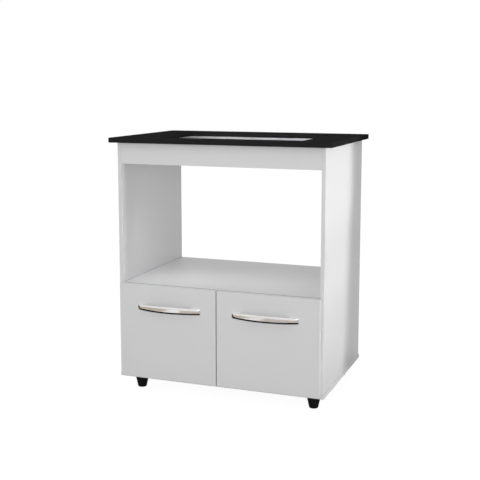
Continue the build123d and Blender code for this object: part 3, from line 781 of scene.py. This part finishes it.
@dataclass(frozen=True)
class Fastener:
    """A screw or a nail about Z, with the top of its head at Z = 0 and its point below."""

    name: str
    head: Head
    radius: float
    length: float
    head_radius: float
    head_height: float
    pitch: float = 1.3 * MM
    recess_half: float = 1.8 * MM
    recess_half_width: float = 0.45 * MM
    recess_depth: float = 0.9 * MM
    recess_taper: float = 0.62
    recess_margin: float = 0.35 * MM
    core_share: float = 0.72
    rim_cut: float = 0.12 * MM
    rim_depth: float = 0.3 * MM
    dome: tuple[Pair, ...] = ((0.55, 0.10), (0.88, 0.32))
    dome_edge: float = 0.62
    nail_head: tuple[Pair, ...] = ((0.7, 0), (0.95, 0.15), (1, 0.5), (0.95, 1))
    point_cores: float = 3.0
    segments: int = 24
    sharp_angle: float = 40.0

    @property
    def core(self) -> float:
        """Return the shank's radius under the thread."""
        return self.radius if self.head is Head.NAIL else self.radius * self.core_share

    def profile(self) -> list[Pair]:
        """Return the radius and height of each turn, from the head's flat to the point."""
        flat, wide = self.recess_half + self.recess_margin, self.head_radius
        core, h = self.core, self.head_height
        if self.head is Head.COUNTERSUNK:
            turns = [(flat, 0), (wide - self.rim_cut, 0), (wide, -self.rim_cut), (wide, -self.rim_depth),
                     (core, -(wide - core) - self.rim_depth)]
        elif self.head is Head.PAN:
            turns = [(flat, 0), *[(flat + (wide - flat) * out, -down * h) for out, down in self.dome],
                     (wide, -self.dome_edge * h), (wide, -h), (core, -h)]
        else:
            turns = [(wide * out, -down * h) for out, down in self.nail_head] + [(core, -h)]
        return turns + [(core, self.point_cores * core - self.length)]

    def body(self) -> bpy.types.Object:
        """Turn the head and shank, and sink the cross recess."""
        bm = bmesh.new()
        rings = [[bm.verts.new((r * math.cos(a), r * math.sin(a), z)) for a in self.angles()]
                 for r, z in self.profile()]
        bridge(bm, rings)
        point = bm.verts.new((0, 0, -self.length))
        for i in range(self.segments):
            bm.faces.new((rings[-1][i], rings[-1][(i + 1) % self.segments], point))
        if self.head is Head.NAIL:
            bm.faces.new(rings[0])
        else:
            self.sink_recess(bm, rings[0])
        mesh = smooth_mesh(bm, self.name, self.sharp_angle)
        return bpy.data.objects.new(self.name, mesh)

    def angles(self) -> list[float]:
        """Return the angles of the points on a ring."""
        return [2 * math.pi * i / self.segments for i in range(self.segments)]

    def sink_recess(self, bm: bmesh.types.BMesh, rim: list[bmesh.types.BMVert]) -> None:
        """Fill the head's flat round a cross with a tapered floor."""
        a, w = self.recess_half, self.recess_half_width
        outline = [(a, -w), (a, w), (w, w), (w, a), (-w, a), (-w, w), (-a, w), (-a, -w), (-w, -w), (-w, -a),
                   (w, -a), (w, -w)]
        upper = [bm.verts.new((x, y, 0)) for x, y in outline]
        taper = self.recess_taper
        floor = [bm.verts.new((x * taper, y * taper, -self.recess_depth)) for x, y in outline]
        edges = [bm.edges.new((upper[i - 1], upper[i])) for i in range(len(upper))]
        for i in range(len(upper)):
            bm.faces.new((upper[i - 1], upper[i], floor[i], floor[i - 1]))
        bm.faces.new(floor)
        edges += [bm.edges.get((rim[i - 1], rim[i])) for i in range(len(rim))]
        bmesh.ops.triangle_fill(bm, use_beauty=True, edges=edges)


class SeatingTree(Nodes):
    """A node tree that sets a fastener on each seat, winds its thread and turns it about its axis."""

    TURN_POINTS = 14
    RIDGE_SIDES = 3
    TAPER_RATE = 9

    def __init__(self) -> None:
        """Build the tree with its named inputs."""
        super().__init__(bpy.data.node_groups.new("seated_fasteners", "GeometryNodeTree"))
        self.inputs: dict[str, str] = {}
        self.add_input("Seats", "NodeSocketGeometry")
        self.add_input("Fastener", "NodeSocketObject")
        self.add_input("Finish", "NodeSocketMaterial")
        for name in ("Thread Radius", "Thread Height", "Thread Start", "Thread Length", "Turns"):
            self.add_input(name, "NodeSocketFloat")
        self.add_input("Seed", "NodeSocketInt")
        self.tree.interface.new_socket("Fitted", in_out="OUTPUT", socket_type="NodeSocketGeometry")
        self.given = self.node("NodeGroupInput").outputs
        self.seat(self.thread())

    def add_input(self, name: str, kind: str) -> None:
        """Add a named input and note its identifier."""
        made = self.tree.interface.new_socket(name, in_out="INPUT", socket_type=kind)
        self.inputs[name] = made.identifier

    def thread(self) -> Socket:
        """Wind a ridge round the shank, thin at both of its ends."""
        given = self.given
        spiral = self.node("GeometryNodeCurveSpiral", sockets={
            "Resolution": self.TURN_POINTS, "Rotations": given["Turns"], "Height": given["Thread Length"],
            "Start Radius": given["Thread Radius"], "End Radius": given["Thread Radius"]})
        along = self.number("GeometryNodeSplineParameter", output="Factor")
        taper = (along.least(1 - along) * self.TAPER_RATE).least(1.0)
        sized = self.node("GeometryNodeSetCurveRadius",
                          sockets={"Curve": spiral.outputs[0], "Radius": taper})
        ridge = self.node("GeometryNodeCurvePrimitiveCircle", {"mode": "RADIUS"},
                          {"Resolution": self.RIDGE_SIDES, "Radius": given["Thread Height"]})
        wound = self.node("GeometryNodeCurveToMesh", sockets={
            "Curve": sized.outputs[0], "Profile Curve": ridge.outputs[0], "Scale": taper})
        depth = (Wire(self, given["Thread Start"]) + Wire(self, given["Thread Length"])) * -1.0
        shift = self.node("ShaderNodeCombineXYZ", sockets={"Z": depth})
        return self.node("GeometryNodeTransform", sockets={
            "Geometry": wound.outputs[0], "Translation": shift.outputs[0]}).outputs[0]

    def seat(self, thread: Socket) -> None:
        """Join the wound thread to the fastener and set copies on the seats."""
        given = self.given
        source = self.node("GeometryNodeObjectInfo", sockets={"Object": given["Fastener"]})
        whole = self.node("GeometryNodeJoinGeometry", sockets={0: [source.outputs["Geometry"], thread]})
        outward = self.node("GeometryNodeInputNamedAttribute", {"data_type": "FLOAT_VECTOR"},
                            {"Name": "outward"})
        upright = self.node("FunctionNodeAlignRotationToVector", {"axis": "Z"},
                            {"Vector": outward.outputs["Attribute"]})
        turn = self.number("FunctionNodeRandomValue", {"data_type": "FLOAT"},
                           {3: math.tau, "Seed": given["Seed"]}, 1)
        spin = self.node("ShaderNodeCombineXYZ", sockets={"Z": turn})
        euler = self.node("FunctionNodeEulerToRotation", sockets={0: spin.outputs[0]})
        rotation = self.node("FunctionNodeRotateRotation", {"rotation_space": "LOCAL"},
                             {"Rotation": upright.outputs[0], "Rotate By": euler.outputs[0]})
        copies = self.node("GeometryNodeInstanceOnPoints", sockets={
            "Points": given["Seats"], "Instance": whole.outputs[0], "Rotation": rotation.outputs[0]})
        solid = self.node("GeometryNodeRealizeInstances", sockets={"Geometry": copies.outputs[0]})
        painted = self.node("GeometryNodeSetMaterial", sockets={
            "Geometry": solid.outputs[0], "Material": given["Finish"]})
        self.node("NodeGroupOutput", sockets={0: painted.outputs[0]})


@dataclass
class Fasteners:
    """Every screw and nail, seated where the CAD model has it."""

    nodes: dict[str, bpy.types.Object]
    finish: Material
    seed: int = 11
    neck_share: float = 0.06
    point_room: float = 2.2
    ridge_share: float = 0.98
    end_depth: float = 0.1 * MM
    long_screw: Fastener = Fastener(
        "long_screw", Head.COUNTERSUNK, 1.75 * MM, 38 * MM, 3.6 * MM, 0.0, 1.7 * MM)
    box_screw: Fastener = Fastener(
        "box_screw", Head.COUNTERSUNK, 1.75 * MM, 30 * MM, 3.6 * MM, 0.0, 1.7 * MM)
    short_screw: Fastener = Fastener("short_screw", Head.PAN, 1.75 * MM, 11.3 * MM, 3.4 * MM, 1.3 * MM)
    foot_screw: Fastener = Fastener("foot_screw", Head.PAN, 2 * MM, 20 * MM, 4.5 * MM, 3 * MM, 1.7 * MM)
    handle_screw: Fastener = Fastener(
        "handle_screw", Head.PAN, 2 * MM, 24.4 * MM, 4 * MM, 2.4 * MM, 0.9 * MM)
    nail: Fastener = Fastener("nail", Head.NAIL, 0.8 * MM, 20.8 * MM, 2.2 * MM, 0.8 * MM)

    def build(self) -> None:
        """Seat each group on the body that carries it."""
        tree = SeatingTree()
        plan = [
            (self.long_screw, "base_screws", "carcass"), (self.foot_screw, "foot_screws", "carcass"),
            (self.short_screw, "countertop_bracket_screws", "carcass"),
            (self.short_screw, "channel_screws", "carcass"), (self.nail, "back_panel_nails", "carcass"),
        ]
        for side in SIDES:
            drawer = f"{side}_drawer"
            plan += [(self.box_screw, f"{drawer}_box_screws", drawer),
                     (self.short_screw, f"{drawer}_rail_screws", drawer),
                     (self.handle_screw, f"{drawer}_handle_screws", drawer)]
        for fastener, node, body in plan:
            self.seat(tree, fastener, node, body)

    def seats(self, node: str) -> list[tuple[Vector, Vector]]:
        """Find the outer end and outward direction of each fastener in a CAD group."""
        bm = bmesh.new()
        bm.from_mesh(self.nodes[node].data)
        bmesh.ops.remove_doubles(bm, verts=bm.verts, dist=WELD)
        found, waiting = [], set(bm.verts)
        while waiting:
            island, stack = set(), [waiting.pop()]
            while stack:
                vert = stack.pop()
                island.add(vert)
                for edge in vert.link_edges:
                    other = edge.other_vert(vert)
                    if other in waiting:
                        waiting.discard(other)
                        stack.append(other)
            found.append(self.seat_of([vert.co.copy() for vert in island]))
        bm.free()
        return found

    def seat_of(self, points: list[Vector]) -> tuple[Vector, Vector]:
        """Return the centre of a fastener's outer end and the way that it looks."""
        low = Vector([min(p[i] for p in points) for i in range(3)])
        high = Vector([max(p[i] for p in points) for i in range(3)])
        axis = max(range(3), key=lambda i: high[i] - low[i])
        centre = (low + high) / 2
        spans = {}
        for end in (low[axis], high[axis]):
            offsets = [p - centre for p in points if abs(p[axis] - end) < self.end_depth]
            for offset in offsets:
                offset[axis] = 0
            spans[end] = max(offset.length for offset in offsets)
        outer = max(spans, key=spans.get)
        seat, outward = centre.copy(), Vector((0, 0, 0))
        seat[axis] = outer
        outward[axis] = 1 if outer == high[axis] else -1
        return seat, outward

    def seat(self, tree: SeatingTree, fastener: Fastener, node: str, body: str) -> None:
        """Set one fastener on every seat of a group and bake the copies into one mesh."""
        seats = self.seats(node)
        points = bpy.data.meshes.new(f"{node}_seats")
        points.from_pydata([spot for spot, _ in seats], [], [])
        outward = points.attributes.new("outward", "FLOAT_VECTOR", "POINT")
        outward.data.foreach_set("vector", [value for _, way in seats for value in way])
        host = linked(f"{node}_host", points)
        source = fastener.body()
        neck = fastener.length * self.neck_share + fastener.head_radius
        thread_length = fastener.length - neck - self.point_room * fastener.core
        height = 0.0 if fastener.head is Head.NAIL else (fastener.radius - fastener.core) * self.ridge_share
        modifier = host.modifiers.new("seating", "NODES")
        modifier.node_group = tree.tree
        values = {
            "Fastener": source, "Finish": self.finish, "Thread Radius": fastener.core,
            "Thread Height": height, "Thread Start": neck, "Thread Length": thread_length,
            "Turns": thread_length / fastener.pitch, "Seed": self.seed,
        }
        for name, value in values.items():
            modifier[tree.inputs[name]] = value
        graph = bpy.context.evaluated_depsgraph_get()
        mesh = bpy.data.meshes.new_from_object(host.evaluated_get(graph), depsgraph=graph)
        mesh.name = f"{node}_turned"
        host.modifiers.remove(modifier)
        for spare in (host, source):
            bpy.data.objects.remove(spare)
        new_piece(f"{node}_turned", mesh, body, "zinc_steel", node)


@dataclass(frozen=True)
class Lamp:
    """A rectangular lamp that looks at a point."""

    name: str
    place: Point
    target: Point
    size: Pair
    power: float
    spread: float = 180.0

    def hang(self) -> None:
        """Put the lamp into the scene, out of sight of the camera and of gloss."""
        data = bpy.data.lights.new(self.name, "AREA")
        data.shape = "RECTANGLE"
        data.size, data.size_y = self.size
        data.energy = self.power
        data.spread = math.radians(self.spread)
        lamp = linked(self.name, data)
        lamp.location = self.place
        lamp.rotation_euler = (Vector(self.target) - Vector(self.place)).to_track_quat("-Z", "Y").to_euler()
        lamp.visible_camera = lamp.visible_glossy = False


@dataclass(frozen=True)
class Card:
    """A level glowing card that only gloss sees: it paints a reflection, dark or bright, into the chrome
    and the boards' sheen, and lights nothing.
    """

    name: str
    low: Pair
    high: Pair
    tone: Colour
    height: float = 2.0 * MM
    strength: float = 1.0

    def lay(self) -> None:
        """Put the card into the scene, out of sight of the camera and of soft light."""
        shader = Shader(self.name)
        card = flat_sheet(self.name, self.low, self.high, self.height)
        glow = shader.node("ShaderNodeEmission",
                           sockets={"Color": (*self.tone, 1), "Strength": self.strength})
        card.data.materials.append(shader.ended(glow))
        card.visible_camera = card.visible_diffuse = card.visible_shadow = False
        card.visible_transmission = card.visible_volume_scatter = False


def flat_sheet(name: str, low: Pair, high: Pair, height: float) -> bpy.types.Object:
    """Lay a level rectangle that belongs to the stage.

    Args:
        name: its name.
        low: its lowest X and Y.
        high: its highest X and Y.
        height: its height over the floor.

    Returns:
        The sheet.
    """
    mesh = bpy.data.meshes.new(name)
    corners = ((low[0], low[1]), (high[0], low[1]), (high[0], high[1]), (low[0], high[1]))
    mesh.from_pydata([(x, y, height) for x, y in corners], [], [(0, 1, 2, 3)])
    sheet = linked(name, mesh)
    return sheet


@dataclass
class Studio:
    """A white floor and backdrop, fitted lamps and the camera close to the photograph's view."""

    floor_half: float = 9.0
    floor_drop: float = 0.1 * MM
    floor_albedo: float = 0.80
    floor_shadow_share: float = 0.22
    floor_glow: float = 0.93
    ambient: float = 0.449
    # The lamps are fitted to the boards' tones. The last three stand in the niche and its mouth.
    lamps: tuple[Lamp, ...] = (
        Lamp("front_box", (0.4, -3.0, 1.15), (0.0, -0.2, 0.4), (1.8, 0.9), 18.6),
        Lamp("top_box", (-0.2, -1.7, 2.4), (0.0, -0.2, 0.35), (1.4, 0.9), 2.3),
        Lamp("rail_strip", (0.0, -1.0, 0.42), (0.0, 0.231, 0.765), (0.44, 0.05), 0.048, 8.0),
        Lamp("wall_strip", (0.29, -0.215, 0.54), (-0.318, -0.02, 0.54), (0.03, 0.34), 0.0145, 50.0),
        Lamp("shelf_bar", (0.0, -0.125, 0.715), (0.0, -0.085, 0.35), (0.50, 0.05), 0.073, 75.0),
        Lamp("corner_bar", (-0.20, -0.17, 0.715), (-0.22, -0.175, 0.35), (0.20, 0.05), 0.028, 65.0),
    )
    strip_reach: float = 1.33
    strip_target: float = 0.33
    strip_width: float = 0.385
    strip_spread: float = 9.0
    strip_rows: tuple[tuple[float, float, float, float], ...] = (
        (0.55, 1.00, 0.652, -0.083), (0.33, 0.55, 0.545, -0.110), (0.15, 0.33, 0.420, -0.125),
        (-0.05, 0.15, 0.390, -0.140))
    # Painted reflections: the shade card puts a dark floor, standing for the shadow around and under the
    # cabinet, into the gloss and so darkens the handles' lower facets; the left card paints a dark
    # reflection at the handles' left tips; the warm cards paint warm tones in the handles' faces; the
    # bright handle card paints a highlight on the handles' upper facets and a faint glow on the fronts
    # above them.
    cards: tuple[Card, ...] = (
        Card("shade_card", (-0.85, -0.50), (0.60, 0.40), (0.004, 0.004, 0.004)),
        Card("left_card", (-2.60, -0.50), (-0.86, 1.30), (0.01, 0.01, 0.01)),
        Card("warm_card_left", (-2.60, -2.20), (-0.62, -0.52), (0.62, 0.54, 0.47)),
        Card("warm_card_right", (-0.20, -2.20), (1.70, -0.60), (0.66, 0.59, 0.55)),
        Card("handle_card", (-0.50, -0.60), (0.50, -0.40), (1.0, 1.0, 1.0), height=0.78, strength=3.5),
    )
    camera_place: Point = (1.00362, -2.711961, 0.96717)
    camera_turn: float = 20.416
    camera_dip: float = 7.959
    focal_pixels: float = 917.041
    frame_pixels: float = 480.0
    sensor: float = 36.0
    shift: float = -0.06
    clip: Pair = (0.05, 60.0)

    def build(self) -> None:
        """Make the stage, the lamps, the world and the camera."""
        self.make_floor()
        self.make_world()
        self.make_camera()
        for card in self.cards:
            card.lay()
        for lamp in [*self.lamps, *self.strips()]:
            lamp.hang()
        LOG.info("the studio stands")

    def strips(self) -> list[Lamp]:
        """Return a lamp for each row of the right strip: low Z, high Z, power per metre and Y."""
        return [Lamp(f"strip_{i}", (self.strip_reach, y, (low + high) / 2),
                     (self.strip_target, y, (low + high) / 2), (self.strip_width, high - low),
                     power * (high - low), self.strip_spread)
                for i, (low, high, power, y) in enumerate(self.strip_rows)]

    def make_floor(self) -> None:
        """Lay a white floor that keeps a faint shadow."""
        half = self.floor_half
        floor = flat_sheet("floor", (-half, -half), (half, half), -self.floor_drop)
        shader = Shader("floor_paint")
        plain, shown = (shader.node("ShaderNodeBsdfDiffuse", sockets={"Color": (*(tone,) * 3, 1)})
                        for tone in (self.floor_albedo, self.floor_shadow_share))
        glow = shader.node("ShaderNodeEmission", sockets={"Strength": self.floor_glow})
        both = shader.node("ShaderNodeAddShader", sockets={0: shown.outputs[0], 1: glow.outputs[0]})
        floor.data.materials.append(shader.ended(shader.node("ShaderNodeMixShader", sockets={
            0: shader.seen_directly(), 1: plain.outputs[0], 2: both.outputs[0]})))

    def make_world(self) -> None:
        """Make a world that is white where it is seen and softer where it lights."""
        world = bpy.data.worlds.new("studio")
        world.use_nodes = True
        sky = Nodes(world.node_tree)
        light = sky.node("ShaderNodeBackground", sockets={"Color": (1, 1, 1, 1), "Strength": self.ambient})
        white = sky.node("ShaderNodeBackground", sockets={"Color": (1, 1, 1, 1)})
        pick = sky.node("ShaderNodeMixShader", sockets={
            0: sky.seen_directly(), 1: light.outputs[0], 2: white.outputs[0]})
        sky.node("ShaderNodeOutputWorld", sockets={0: pick.outputs[0]})
        bpy.context.scene.world = world

    def make_camera(self) -> None:
        """Place the camera 0.11 m from the photograph's, with less shift and a look down."""
        data = bpy.data.cameras.new("camera")
        data.sensor_width = self.sensor
        data.lens = self.focal_pixels / self.frame_pixels * self.sensor
        data.shift_y = self.shift
        data.clip_start, data.clip_end = self.clip
        camera = linked("camera", data)
        camera.location = self.camera_place
        camera.rotation_euler = (math.radians(90 - self.camera_dip), 0, math.radians(self.camera_turn))
        bpy.context.scene.camera = camera


def main() -> None:
    """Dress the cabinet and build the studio."""
    logging.basicConfig(level=logging.INFO, format="%(name)s: %(message)s")
    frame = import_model()
    nodes = frame["nodes"]
    wardrobe = Wardrobe()
    Boards(nodes, wardrobe).build()
    slots = {part["node"]: part["material_slot"] for part in frame["record"]["subparts"]}
    chrome = wardrobe.finish("handle_chrome")
    for side in SIDES:
        BowHandle(f"{side}_drawer", chrome).build()
    Fasteners(nodes, wardrobe.finish("zinc_steel")).build()
    for name, node in nodes.items():
        if slots[name] not in BOARD_SLOTS:
            dress(node, wardrobe.finish(slots[name]))
    Studio().build()
    scene = bpy.context.scene
    scene.view_settings.view_transform = "Standard"


if __name__ == "__main__":
    main()
